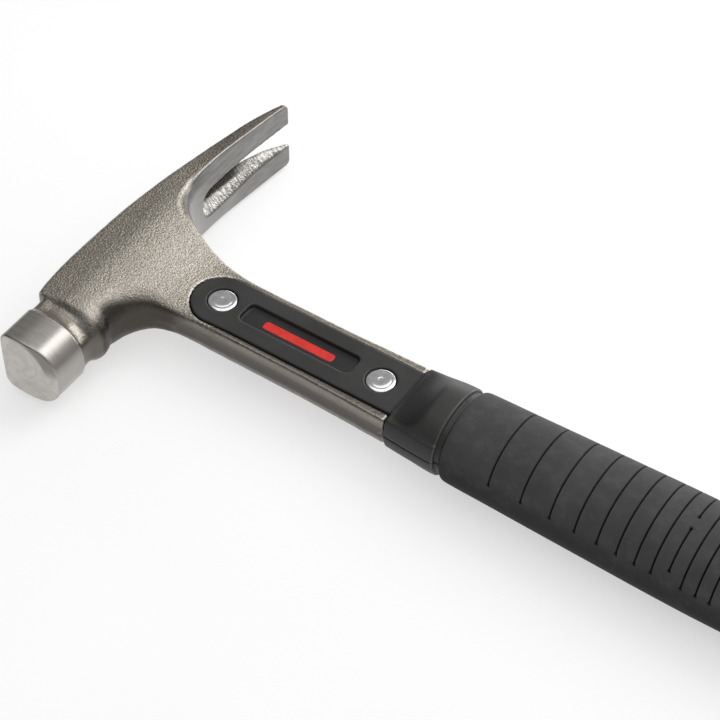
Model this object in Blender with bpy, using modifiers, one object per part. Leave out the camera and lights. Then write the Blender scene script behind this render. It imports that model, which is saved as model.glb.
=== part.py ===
"""Electrician's hammer: a one-piece forged head and I-section neck, two nylon
handle halves riveted into the neck's channels, and a rubber grip sleeve.

Millimetre dimensions are given in the hammer's own working frame: the origin is
on the front rivet in the mid plane, X runs down the handle to the butt, Y runs
from the striking face to the claw tips, Z runs across the thickness.  The
empty hammer_frame carries that frame into the part frame, whose origin is the
middle of the foot of the hammer lying on its side.
"""
import math

import bmesh
import bpy

MM = 0.001
GAP = 0.3                     # clearance between neighbouring pieces

# overall
HEAD_TOP_X = -52.6
BUTT_X = 267.4
FACE_Y = -59.5
TIP_Y = 87.5
GRIP_HALF_Z = 16.4            # thickest place of the grip
PART_ORIGIN = ((HEAD_TOP_X + BUTT_X) / 2, (FACE_Y + TIP_Y) / 2, -GRIP_HALF_Z)

# poll: a rounded square bar with a turned groove behind it
POLL_X = -37.7                # axis of the poll
POLL_HALF_X = 11.9
POLL_HALF_Z = 13.0
POLL_TOP_R = 3.6              # corners on the head's top side
POLL_LOW_R = 10.0             # corners on the handle side
FACE_CHAMFER = 0.6
POLL_BACK_Y = -44.7
GROOVE_FLANK = 2.4            # groove depth on the two flanks
GROOVE_LOW = 1.2              # and on the handle side
GROOVE_TOP = 0.5              # and on the top side
SHOULDER_Y = -37.0

# claw
CLAW_HALF_Z = 15.4

# neck: an I-section with a rounded channel on each side
NECK_FACE_Y = -13.6           # outer faces of the two rails
NECK_CLAW_Y = 13.6
RAIL_FLARE = 0.8              # how far the rails spread at the collar
NECK_HALF_Z = 5.9
NECK_END_X = 76.2
CHANNEL_HALF_Y = 10.9
WEB_HALF_Z = 1.8
TANG_HALF_Y = 8.5
TANG_END_X = 150.0

# rivets
RIVET_X = (0.0, 65.6)
RIVET_HEAD_R = 5.25
RIVET_TUBE_R = 2.9
RIVET_BORE_R = 2.0
RIVET_PIN_R = 1.7
RIVET_RIM_Z = 6.2
RIVET_CROWN_Z = 6.75
RIVET_SEAT_Z = 5.75

# nylon handle
TONGUE_Z = 6.5
COLLAR_X = NECK_END_X + GAP
RAMP_END_X = 89.0
COLLAR_END_X = 96.6
SLEEVE_X = 99.0
CORE_HALF_Y = 13.4
CORE_HALF_Z = 11.4
CORE_END_X = 252.0
SEAM_HALF = GAP / 2
POCKET_X = (9.2, 55.0)
POCKET_Y = (-4.25, 4.65)
POCKET_DEPTH = 2.0
GRIP_Y = -0.3                 # the grip's oval sits this far off the rivet line
OVAL = 2.15                   # superellipse power of the oval sections

# ------------------------------------------------------------------ scene
for old in list(bpy.data.objects):
    bpy.data.objects.remove(old, do_unlink=True)

parts = bpy.data.collections.new("electrician_hammer")
tools = bpy.data.collections.new("cutters")
for group in (parts, tools):
    bpy.context.scene.collection.children.link(group)

frame = bpy.data.objects.new("hammer_frame", None)
frame.location = [-c * MM for c in PART_ORIGIN]
parts.objects.link(frame)


def material(name, colour, roughness, metallic):
    mat = bpy.data.materials.new(name)
    mat.use_nodes = True
    shader = mat.node_tree.nodes["Principled BSDF"]
    shader.inputs["Base Color"].default_value = (*colour, 1.0)
    shader.inputs["Roughness"].default_value = roughness
    shader.inputs["Metallic"].default_value = metallic
    return mat


STEEL = material("forged_steel", (0.30, 0.275, 0.25), 0.38, 1.0)
NYLON = material("black_nylon", (0.020, 0.020, 0.021), 0.45, 0.0)
RUBBER = material("grip_rubber", (0.030, 0.030, 0.031), 0.70, 0.0)
CHROME = material("rivet_chrome", (0.78, 0.79, 0.81), 0.12, 1.0)


# ------------------------------------------------------------------ helpers
def place(obj, mat=None, location=(0.0, 0.0, 0.0)):
    """Hang an object on the frame, as a part if it has a material, else as a cutter."""
    obj.parent = frame
    obj.location = [c * MM for c in location]
    if mat is None:
        tools.objects.link(obj)
        obj.hide_render = True
        obj.display_type = 'WIRE'
    else:
        parts.objects.link(obj)
        obj.data.materials.append(mat)
    return obj


def mesh_object(name, bm, smooth=True):
    bmesh.ops.recalc_face_normals(bm, faces=bm.faces[:])
    mesh = bpy.data.meshes.new(name)
    bm.to_mesh(mesh)
    bm.free()
    if smooth:
        mesh.shade_smooth()
        mesh.set_sharp_from_angle(angle=math.radians(35))
    return bpy.data.objects.new(name, mesh)


def loft(name, rings):
    """Skin a row of equal-count closed sections and cap both ends."""
    bm = bmesh.new()
    loops = [[bm.verts.new([c * MM for c in p]) for p in ring] for ring in rings]
    count = len(loops[0])
    for near, far in zip(loops, loops[1:]):
        for i in range(count):
            j = (i + 1) % count
            bm.faces.new((near[i], near[j], far[j], far[i]))
    bm.faces.new(loops[0])
    bm.faces.new(loops[-1])
    return mesh_object(name, bm)


def plate(name, outline, z_low, z_high):
    """A flat outline in XY, extruded between two heights, as a closed mesh."""
    curve = bpy.data.curves.new(name + "_outline", 'CURVE')
    curve.dimensions = '2D'
    curve.fill_mode = 'BOTH'
    curve.extrude = (z_high - z_low) / 2 * MM
    spline = curve.splines.new('POLY')
    spline.points.add(len(outline) - 1)
    for point, (x, y) in zip(spline.points, outline):
        point.co = (x * MM, y * MM, 0.0, 1.0)
    spline.use_cyclic_u = True
    guide = bpy.data.objects.new(name + "_outline", curve)
    tools.objects.link(guide)
    graph = bpy.context.evaluated_depsgraph_get()
    mesh = bpy.data.meshes.new_from_object(guide.evaluated_get(graph))
    bpy.data.objects.remove(guide)
    bm = bmesh.new()
    bm.from_mesh(mesh)
    bpy.data.meshes.remove(mesh)
    bmesh.ops.remove_doubles(bm, verts=bm.verts[:], dist=0.00001)
    bmesh.ops.translate(bm, verts=bm.verts[:], vec=(0.0, 0.0, (z_low + z_high) / 2 * MM))
    return mesh_object(name, bm)


def box(name, low, high):
    bm = bmesh.new()
    bmesh.ops.create_cube(bm, size=1.0)
    size = [(b - a) * MM for a, b in zip(low, high)]
    bmesh.ops.scale(bm, verts=bm.verts[:], vec=size)
    bmesh.ops.translate(bm, verts=bm.verts[:], vec=[(a + b) / 2 * MM for a, b in zip(low, high)])
    return mesh_object(name, bm, smooth=False)


def cylinder(name, radius, z_low, z_high, sides=32):
    bm = bmesh.new()
    bmesh.ops.create_cone(bm, cap_ends=True, segments=sides, radius1=radius * MM,
                          radius2=radius * MM, depth=(z_high - z_low) * MM)
    bmesh.ops.translate(bm, verts=bm.verts[:], vec=(0.0, 0.0, (z_low + z_high) / 2 * MM))
    return mesh_object(name, bm)


def turned(name, profile, steps=32):
    """A profile of (radius, height) points turned about Z."""
    bm = bmesh.new()
    verts = [bm.verts.new((r * MM, 0.0, z * MM)) for r, z in profile]
    for a, b in zip(verts, verts[1:]):
        bm.edges.new((a, b))
    mesh = bpy.data.meshes.new(name)
    bm.to_mesh(mesh)
    bm.free()
    obj = bpy.data.objects.new(name, mesh)
    screw = obj.modifiers.new("turn", 'SCREW')
    screw.axis = 'Z'
    screw.angle = math.tau
    screw.steps = screw.render_steps = steps
    screw.use_merge_vertices = True
    screw.merge_threshold = 0.00001
    screw.use_smooth_shade = True
    return obj


def combine(obj, operation, tool):
    mod = obj.modifiers.new(operation.lower() + "_" + tool.name, 'BOOLEAN')
    mod.operation = operation
    mod.solver = 'EXACT'
    mod.object = tool


def between(table, at):
    """Columns of a station table, eased between stations (first column is the station)."""
    for a, b in zip(table, table[1:]):
        if at <= b[0]:
            t = (at - a[0]) / (b[0] - a[0])
            return [p + (q - p) * t for p, q in zip(a[1:], b[1:])]
    return list(table[-1][1:])


def rounded_rect(half_a, half_b, corner_plus, corner_minus, steps):
    """Rectangle with one corner radius on its +a side and another on its -a side."""
    pts = []
    for sa, sb, start in ((1, 1, 0), (-1, 1, 90), (-1, -1, 180), (1, -1, 270)):
        corner = min(corner_plus if sa > 0 else corner_minus, half_a * 0.98, half_b * 0.98)
        for i in range(steps):
            ang = math.radians(start + 90.0 * i / (steps - 1))
            pts.append((sa * (half_a - corner) + corner * math.cos(ang),
                        sb * (half_b - corner) + corner * math.sin(ang)))
    return pts


def power(value, exponent):
    return math.copysign(abs(value) ** exponent, value)


def oval(half_y, half_z, count, first=0.0, last=math.tau, closed=True):
    """Superellipse points (y, z) from one angle to another."""
    steps = count if closed else count - 1
    out = []
    for i in range(count):
        ang = first + (last - first) * i / steps
        out.append((half_y * power(math.cos(ang), 2 / OVAL),
                    half_z * power(math.sin(ang), 2 / OVAL)))
    return out


def rounded_front(front_r, rear_x, steps=18):
    """Outline with a half-round front about the front rivet and a square rear end."""
    pts = [(front_r * math.cos(a), front_r * math.sin(a))
           for a in (math.pi / 2 + math.pi * i / steps for i in range(steps + 1))]
    return pts + [(rear_x, -front_r), (rear_x, front_r)]


# ------------------------------------------------------------------ forged head
# station Y, top edge X, inner edge X, half thickness, corner radius inside, corner radius on top
def poll_row(y, inset, crisp=0.0):
    return (y, POLL_X - POLL_HALF_X + inset, POLL_X + POLL_HALF_X - inset, POLL_HALF_Z - inset,
            POLL_LOW_R - crisp, POLL_TOP_R - crisp)


def groove_row(y, share):
    return (y, POLL_X - POLL_HALF_X + GROOVE_TOP * share, POLL_X + POLL_HALF_X - GROOVE_LOW * share,
            POLL_HALF_Z - GROOVE_FLANK * share, POLL_LOW_R - 1.2 * share, POLL_TOP_R - 0.6 * share)


head_rows = [
    poll_row(FACE_Y, FACE_CHAMFER, 0.6),
    poll_row(FACE_Y + FACE_CHAMFER, 0.0),
    poll_row(POLL_BACK_Y, 0.0),
    groove_row(POLL_BACK_Y + 0.5, 0.35),
    groove_row(POLL_BACK_Y + 1.3, 0.7),
    groove_row(POLL_BACK_Y + 2.6, 0.95),
    groove_row(POLL_BACK_Y + 3.8, 1.0),
    groove_row(SHOULDER_Y - 2.4, 0.95),
    (SHOULDER_Y - 1.0, -50.4, -25.6, 11.6, 8.4, 2.2),
    (SHOULDER_Y, -51.3, -24.9, 12.4, 8.4, 1.8),
    (-34.0, -51.8, -25.5, 12.6, 8.2, 1.6),
    (-30.0, -52.3, -26.6, 12.8, 8.2, 1.6),
    (-20.0, -52.55, -28.5, 13.2, 7.0, 1.8),
    (-10.0, HEAD_TOP_X, -29.5, 13.6, 5.0, 2.2),
    (0.0, -52.3, -30.0, 14.0, 4.0, 2.2),
    (8.0, -51.9, -30.5, 14.3, 3.4, 2.2),
    (16.0, -51.1, -31.5, 14.7, 3.0, 2.1),
    (24.0, -49.9, -34.0, 15.1, 2.6, 2.0),
    (32.0, -48.5, -36.9, 15.3, 2.0, 1.7),
    (40.0, -46.9, -37.7, CLAW_HALF_Z, 1.4, 1.3),
    (50.0, -45.0, -37.6, CLAW_HALF_Z, 1.1, 1.1),
    (60.0, -43.0, -37.1, CLAW_HALF_Z, 1.0, 1.0),
    (70.0, -40.9, -36.3, CLAW_HALF_Z, 0.9, 0.9),
    (80.0, -38.2, -35.2, CLAW_HALF_Z, 0.8, 0.8),
    (TIP_Y, -35.7, -34.2, CLAW_HALF_Z, 0.6, 0.6),
]
head_rings = []
for y, top_x, inner_x, half_z, inner_r, top_r in head_rows:
    mid, half_x = (top_x + inner_x) / 2, (inner_x - top_x) / 2
    head_rings.append([(mid + a, y, b) for a, b in rounded_rect(half_x, half_z, inner_r, top_r, 6)])
head = place(loft("forged_head", head_rings), STEEL)

# the neck flares into the head along both fillets and thins to the I-section
# station X, face-side Y, claw-side Y, half thickness, edge radius claw side, edge radius face side
neck_rows = [
    (-42.0, -30.0, 22.0, 10.0, 4.0, 5.0),
    (-34.0, -34.0, 24.6, 12.2, 2.6, 7.5),
    (-30.0, -33.6, 22.5, 12.0, 2.4, 8.0),
    (-28.2, -32.4, 21.6, 11.7, 2.3, 8.0),
    (-26.8, -29.6, 20.8, 11.3, 2.2, 8.0),
    (-25.6, -26.0, 20.2, 10.8, 2.2, 7.5),
    (-24.0, -21.4, 19.5, 10.2, 2.0, 6.8),
    (-19.8, -16.5, 17.9, 8.8, 1.8, 5.0),
    (-13.2, -14.4, 16.2, 7.0, 1.5, 3.0),
    (-5.0, -13.7, 14.7, 6.1, 1.2, 1.6),
    (6.0, NECK_FACE_Y, NECK_CLAW_Y, NECK_HALF_Z, 1.0, 1.0),
    (40.0, NECK_FACE_Y, NECK_CLAW_Y, NECK_HALF_Z, 0.9, 0.9),
    (58.0, NECK_FACE_Y - RAIL_FLARE * 0.5, NECK_CLAW_Y + RAIL_FLARE * 0.5, NECK_HALF_Z, 0.9, 0.9),
    (NECK_END_X - 1.2, NECK_FACE_Y - RAIL_FLARE, NECK_CLAW_Y + RAIL_FLARE, NECK_HALF_Z, 0.9, 0.9),
    (NECK_END_X, NECK_FACE_Y - RAIL_FLARE + 0.9, NECK_CLAW_Y + RAIL_FLARE - 0.9, NECK_HALF_Z - 0.9, 0.8, 0.8),
]
neck_rings = []
for x, low_y, high_y, half_z, claw_r, face_r in neck_rows:
    mid, half_y = (low_y + high_y) / 2, (high_y - low_y) / 2
    neck_rings.append([(x, mid + a, b) for a, b in rounded_rect(half_y, half_z, claw_r, face_r, 5)])
neck = place(loft("neck_body", neck_rings))
tang = place(box("tang_body", (50.0, -TANG_HALF_Y, -WEB_HALF_Z), (TANG_END_X, TANG_HALF_Y, WEB_HALF_Z)))

# nail slot: station Y, half width on the inner face, half width on the outer face
slot_rows = [
    (37.2, 1.9, 0.4), (38.2, 4.0, 0.5), (39.6, 5.2, 0.6), (41.6, 5.9, 0.8), (44.0, 6.2, 0.9), (56.0, 6.2, 1.1),
    (64.0, 6.0, 1.3), (72.0, 5.6, 2.1), (79.0, 5.4, 3.1), (84.0, 5.4, 4.4), (TIP_Y, 5.4, 5.2),
    (TIP_Y + 4.0, 5.4, 5.4),
]
claw_shape = [row[:3] for row in head_rows if row[0] > 0.0]
slot_rings = []
for y, inner_w, outer_w in slot_rows:
    top_x, inner_x = between(claw_shape, min(y, TIP_Y))
    reach = 1.5
    slope = (inner_w - outer_w) / (inner_x - top_x) if y < 80.0 else 0.0
    wide, tight = inner_w + slope * reach, max(outer_w - slope * reach, 0.3)
    slot_rings.append([(inner_x + reach, y, wide), (inner_x + reach, y, -wide),
                       (top_x - reach, y, -tight), (top_x - reach, y, tight)])
slot = place(loft("nail_slot", slot_rings))

channel_top = place(plate("channel_top", rounded_front(CHANNEL_HALF_Y, NECK_END_X + 8.0), WEB_HALF_Z, 20.0))
channel_low = place(plate("channel_low", rounded_front(CHANNEL_HALF_Y, NECK_END_X + 8.0), -20.0, -WEB_HALF_Z))

combine(head, 'UNION', neck)
combine(head, 'UNION', tang)
combine(head, 'DIFFERENCE', slot)
combine(head, 'DIFFERENCE', channel_top)
combine(head, 'DIFFERENCE', channel_low)
for tag, x in zip(("front", "rear"), RIVET_X):
    hole = place(cylinder(tag + "_web_hole", RIVET_TUBE_R + GAP, -10.0, 10.0), location=(x, 0.0, 0.0))
    combine(head, 'DIFFERENCE', hole)

# ------------------------------------------------------------------ handle halves
# station X, half height, half thickness of the oval, how far the ramp has risen to the oval
collar_rows = [
    (COLLAR_X, 14.8, 13.6, 0.0),
    (COLLAR_X + 1.0, 15.4, 13.8, 0.04),
    (79.5, 15.5, 13.9, 0.17),
    (82.0, 15.7, 14.0, 0.38),
    (85.0, 15.9, 14.1, 0.67),
    (RAMP_END_X, 16.1, 14.2, 1.0),
    (COLLAR_END_X - 0.7, 16.4, 14.4, 1.0),
    (COLLAR_END_X, 15.9, 13.9, 1.0),
    (COLLAR_END_X + 0.05, 15.2, 13.2, 1.0),
    (SLEEVE_X - GAP, 15.2, 13.2, 1.0),
    (SLEEVE_X - GAP + 0.05, CORE_HALF_Y, CORE_HALF_Z, 1.0),
    (CORE_END_X - 8.0, CORE_HALF_Y, CORE_HALF_Z, 1.0),
    (CORE_END_X, CORE_HALF_Y - 4.0, CORE_HALF_Z - 4.0, 1.0),
]
pocket_r = 2.2
pocket_outline = []
for sx, sy, start in ((1, 1, 0), (-1, 1, 90), (-1, -1, 180), (1, -1, 270)):
    cx = POCKET_X[1] - pocket_r if sx > 0 else POCKET_X[0] + pocket_r
    for i in range(6):
        ang = math.radians(start + 18.0 * i)
        pocket_outline.append((cx + pocket_r * math.cos(ang),
                               (POCKET_Y[1] - pocket_r if sy > 0 else POCKET_Y[0] + pocket_r) + pocket_r * math.sin(ang)))

for name, side in (("handle_half_top", 1.0), ("handle_half_bottom", -1.0)):
    rings = []
    for x, half_y, half_z, risen in collar_rows:
        shift = GRIP_Y if x > COLLAR_X else 0.0
        rings.append([(x, shift + y, side * max(SEAM_HALF, min(z, TONGUE_Z) + max(z - TONGUE_Z, 0.0) * risen))
                      for y, z in oval(half_y, half_z, 25, 0.0, math.pi, closed=False)])
    half = place(loft(name, rings), NYLON)

    def spans(a, b):
        return (a, b) if side > 0 else (-b, -a)

    tongue = place(plate(name + "_tongue", rounded_front(CHANNEL_HALF_Y - GAP, COLLAR_X + 6.0),
                         *spans(WEB_HALF_Z + GAP, TONGUE_Z)))
    seat = place(box(name + "_tang_seat",
                     (COLLAR_X - 5.0, -TANG_HALF_Y - GAP, -WEB_HALF_Z - GAP),
                     (TANG_END_X + GAP, TANG_HALF_Y + GAP, WEB_HALF_Z + GAP)))
    pocket = place(plate(name + "_pocket", pocket_outline, *spans(TONGUE_Z - POCKET_DEPTH, TONGUE_Z + 3.0)))
    combine(half, 'UNION', tongue)
    combine(half, 'DIFFERENCE', seat)
    combine(half, 'DIFFERENCE', pocket)
    for tag, x in zip(("front", "rear"), RIVET_X):
        bore = place(cylinder(name + "_" + tag + "_bore", RIVET_TUBE_R + GAP, *spans(0.0, 20.0)),
                     location=(x, 0.0, 0.0))
        sink = place(cylinder(name + "_" + tag + "_sink", RIVET_HEAD_R + GAP,
                              *spans(RIVET_SEAT_Z - GAP, 20.0)), location=(x, 0.0, 0.0))
        combine(half, 'DIFFERENCE', bore)
        combine(half, 'DIFFERENCE', sink)

# ------------------------------------------------------------------ rivets
crown = [(0.0, RIVET_CROWN_Z), (1.8, RIVET_CROWN_Z - 0.05), (3.3, RIVET_CROWN_Z - 0.18), (4.5, RIVET_CROWN_Z - 0.38),
         (5.0, RIVET_RIM_Z), (RIVET_HEAD_R, RIVET_RIM_Z - 0.25), (RIVET_HEAD_R, RIVET_SEAT_Z)]
cap_profile = crown + [(RIVET_PIN_R, RIVET_SEAT_Z), (RIVET_PIN_R, -1.5), (RIVET_PIN_R - 0.5, -2.0), (0.0, -2.0)]
post_profile = [(0.0, -3.0), (RIVET_BORE_R, -3.0), (RIVET_BORE_R, 4.6), (RIVET_TUBE_R, 4.6),
                (RIVET_TUBE_R, -RIVET_SEAT_Z)] + [(r, -z) for r, z in reversed(crown)]
for tag, x in zip(("front", "rear"), RIVET_X):
    place(turned(tag + "_rivet_cap", cap_profile), CHROME, (x, 0.0, 0.0))
    place(turned(tag + "_rivet_post", post_profile), CHROME, (x, 0.0, 0.0))

# ------------------------------------------------------------------ grip sleeve
# station X, half height, half thickness
sleeve_rows = [
    (SLEEVE_X, 16.0, 14.4), (SLEEVE_X + 0.5, 16.4, 14.8), (SLEEVE_X + 1.6, 16.7, 15.1),
    (118.0, 17.15, 15.45), (130.0, 17.5, 15.7), (142.0, 17.8, 15.95), (154.0, 18.1, 16.15),
    (166.0, 18.45, 16.3), (178.0, 18.75, GRIP_HALF_Z), (192.0, 18.95, GRIP_HALF_Z),
    (206.0, 18.8, 16.3), (220.0, 18.4, 16.0), (233.0, 18.4, 15.9), (244.0, 19.0, 16.1),
    (254.5, 19.9, GRIP_HALF_Z), (260.8, 20.2, GRIP_HALF_Z), (264.9, 19.4, 15.8),
    (266.8, 17.6, 14.3), (BUTT_X, 14.5, 11.5),
]
sleeve = place(loft("grip_sleeve", [[(x, GRIP_Y + y, z) for y, z in oval(hy, hz, 32)]
                                    for x, hy, hz in sleeve_rows]), RUBBER)
core_rows = [(SLEEVE_X - 4.0, CORE_HALF_Y, CORE_HALF_Z), (CORE_END_X - 8.0, CORE_HALF_Y, CORE_HALF_Z),
             (CORE_END_X, CORE_HALF_Y - 4.0, CORE_HALF_Z - 4.0)]
cavity = place(loft("sleeve_cavity", [[(x + (GAP * 1.5 if i == 2 else 0.0), GRIP_Y + y, z)
                                       for y, z in oval(hy + GAP, hz + GAP, 32)]
                                      for i, (x, hy, hz) in enumerate(core_rows)]))
combine(sleeve, 'DIFFERENCE', cavity)
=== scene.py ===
"""Looks of the electrician's hammer.

Shapes are worked out in millimetres in the hammer's own working frame: origin on
the front rivet in the mid plane, X down the handle, Y from the striking face to
the claw tips, Z across the thickness.  ORIGIN carries that into the part frame.
"""

import math

import bpy
import numpy as np
from mathutils import Matrix, Vector


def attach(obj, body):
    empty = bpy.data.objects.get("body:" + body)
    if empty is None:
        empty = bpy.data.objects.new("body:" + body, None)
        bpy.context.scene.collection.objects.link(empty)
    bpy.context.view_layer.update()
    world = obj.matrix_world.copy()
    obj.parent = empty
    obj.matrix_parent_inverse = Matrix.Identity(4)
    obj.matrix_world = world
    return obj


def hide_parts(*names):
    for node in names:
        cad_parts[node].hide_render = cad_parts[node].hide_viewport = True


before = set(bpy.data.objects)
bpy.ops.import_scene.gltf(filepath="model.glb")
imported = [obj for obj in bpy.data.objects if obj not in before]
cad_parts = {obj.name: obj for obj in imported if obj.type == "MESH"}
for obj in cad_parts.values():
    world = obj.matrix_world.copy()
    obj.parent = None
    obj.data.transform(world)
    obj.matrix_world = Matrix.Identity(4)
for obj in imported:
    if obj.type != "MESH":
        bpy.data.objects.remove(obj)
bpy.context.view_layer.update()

MM = 0.001
ORIGIN = np.array([107.4, 14.0, -16.4])

HEAD_RES = 0.53               # mesh pitch of the forging
HANDLE_RES = 0.42             # mesh pitch of the nylon halves


# ---------------------------------------------------------------- curves and fields
def eased(table, column=1):
    """Smooth curve through a station table that never overshoots its stations."""
    xs = np.array([row[0] for row in table], float)
    ys = np.array([row[column] for row in table], float)
    gap = np.diff(xs)
    rise = np.diff(ys) / gap
    slope = np.zeros_like(ys)
    slope[0], slope[-1] = rise[0], rise[-1]
    both = rise[:-1] * rise[1:]
    slope[1:-1] = np.where(both > 0, 2 * both / np.where(np.abs(rise[:-1] + rise[1:]) < 1e-12, 1.0, rise[:-1] + rise[1:]), 0.0)
    fine = np.linspace(xs[0], xs[-1], 3000)
    i = np.clip(np.searchsorted(xs, fine) - 1, 0, len(gap) - 1)
    t = (fine - xs[i]) / gap[i]
    out = ((2 * t ** 3 - 3 * t ** 2 + 1) * ys[i] + (t ** 3 - 2 * t ** 2 + t) * gap[i] * slope[i]
           + (3 * t ** 2 - 2 * t ** 3) * ys[i + 1] + (t ** 3 - t ** 2) * gap[i] * slope[i + 1])
    return lambda x: np.interp(x, fine, out)


def traced(points, step=0.6):
    """Catmull-Rom curve through rows of values, resampled at an even step in its first two columns."""
    p = np.array(points, float)
    p = np.vstack([2 * p[0] - p[1], p, 2 * p[-1] - p[-2]])
    out = []
    for a, b, c, d in zip(p, p[1:], p[2:], p[3:]):
        k = [max(np.linalg.norm((v - u)[:2]) ** 0.5, 1e-6) for u, v in ((a, b), (b, c), (c, d))]
        m1 = ((b - a) / k[0] - (c - a) / (k[0] + k[1]) + (c - b) / k[1]) * k[1]
        m2 = ((c - b) / k[1] - (d - b) / (k[1] + k[2]) + (d - c) / k[2]) * k[1]
        for t in np.linspace(0, 1, 24, endpoint=False):
            out.append((2 * t ** 3 - 3 * t ** 2 + 1) * b + (t ** 3 - 2 * t ** 2 + t) * m1
                       + (3 * t ** 2 - 2 * t ** 3) * c + (t ** 3 - t ** 2) * m2)
    out.append(p[-2])
    out = np.array(out)
    run = np.concatenate([[0], np.cumsum(np.linalg.norm(np.diff(out[:, :2], axis=0), axis=1))])
    even = np.linspace(0, run[-1], max(2, int(run[-1] / step)))
    return np.stack([np.interp(even, run, out[:, c]) for c in range(out.shape[1])], 1)


class LineField:
    """Signed distance to an open curve in XY on a lattice, with what its nearest point carries.

    The curve runs with the solid on its left hand, where the distance is negative."""

    def __init__(self, line, low, high, step=0.5):
        self.low, self.step = low, step
        xs = np.arange(low[0], high[0] + step, step)
        ys = np.arange(low[1], high[1] + step, step)
        self.shape = (len(xs), len(ys))
        px, py = np.meshgrid(xs, ys, indexing="ij")
        pts = np.stack([px.ravel(), py.ravel()], 1)
        a, d = line[:-1, :2], np.diff(line[:, :2], axis=0)
        dd = (d ** 2).sum(1)
        dist, near, share = (np.empty(len(pts)) for _ in range(3))
        seg = np.empty(len(pts), int)
        for i in range(0, len(pts), 6000):
            q = pts[i:i + 6000]
            rx = q[:, :1] - a[None, :, 0]
            ry = q[:, 1:] - a[None, :, 1]
            t = np.clip((rx * d[None, :, 0] + ry * d[None, :, 1]) / dd[None], 0, 1)
            s2 = (rx - t * d[None, :, 0]) ** 2 + (ry - t * d[None, :, 1]) ** 2
            k = s2.argmin(1)
            row = np.arange(len(q))
            dist[i:i + 6000] = np.sqrt(s2[row, k])
            share[i:i + 6000] = t[row, k]
            seg[i:i + 6000] = k
            near[i:i + 6000] = d[k, 0] * ry[row, k] - d[k, 1] * rx[row, k]
        self.maps = [(dist * np.where(near > 0, -1.0, 1.0)).reshape(self.shape)]
        for c in range(2, line.shape[1]):
            self.maps.append((line[seg, c] * (1 - share) + line[seg + 1, c] * share).reshape(self.shape))

    def at(self, x, y):
        u = np.clip((x - self.low[0]) / self.step, 0, self.shape[0] - 1.001)
        v = np.clip((y - self.low[1]) / self.step, 0, self.shape[1] - 1.001)
        i, j = u.astype(int), v.astype(int)
        u, v = u - i, v - j
        return [m[i, j] * (1 - u) * (1 - v) + m[i + 1, j] * u * (1 - v) + m[i, j + 1] * (1 - u) * v
                + m[i + 1, j + 1] * u * v for m in self.maps]


def soft_max(a, b, k):
    return np.maximum(a, b) + np.maximum(k - np.abs(a - b), 0) ** 2 / (4 * k)


def soft_min(a, b, k):
    return np.minimum(a, b) - np.maximum(k - np.abs(a - b), 0) ** 2 / (4 * k)


def step_up(low, high, x):
    t = np.clip((x - low) / (high - low), 0, 1)
    return t * t * (3 - 2 * t)


def rounded(a, b, r):
    """Meeting of two surfaces with an edge radius."""
    a, b = a + r, b + r
    return np.minimum(np.maximum(a, b), 0) + np.hypot(np.maximum(a, 0), np.maximum(b, 0)) - r


def lumps(p, wave, seed):
    """Smooth random unevenness of one wavelength, about -1 to 1."""
    rng = np.random.default_rng(seed)
    total = np.zeros(len(p))
    for _ in range(14):
        way = rng.normal(size=3)
        way *= math.tau / wave * rng.uniform(0.75, 1.3) / np.linalg.norm(way)
        total += np.sin(p @ way + rng.uniform(0, math.tau))
    return total / math.sqrt(14)


# ---------------------------------------------------------------- meshing
CORNERS = [(i, j, k) for i in (0, 1) for j in (0, 1) for k in (0, 1)]


def slope_of(field, p, reach=0.04):
    g = np.empty_like(p)
    for c in range(3):
        e = np.zeros(3)
        e[c] = reach
        q, r = p + e, p - e
        g[:, c] = (field(q[:, 0], q[:, 1], q[:, 2]) - field(r[:, 0], r[:, 1], r[:, 2])) / (2 * reach)
    return g


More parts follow.
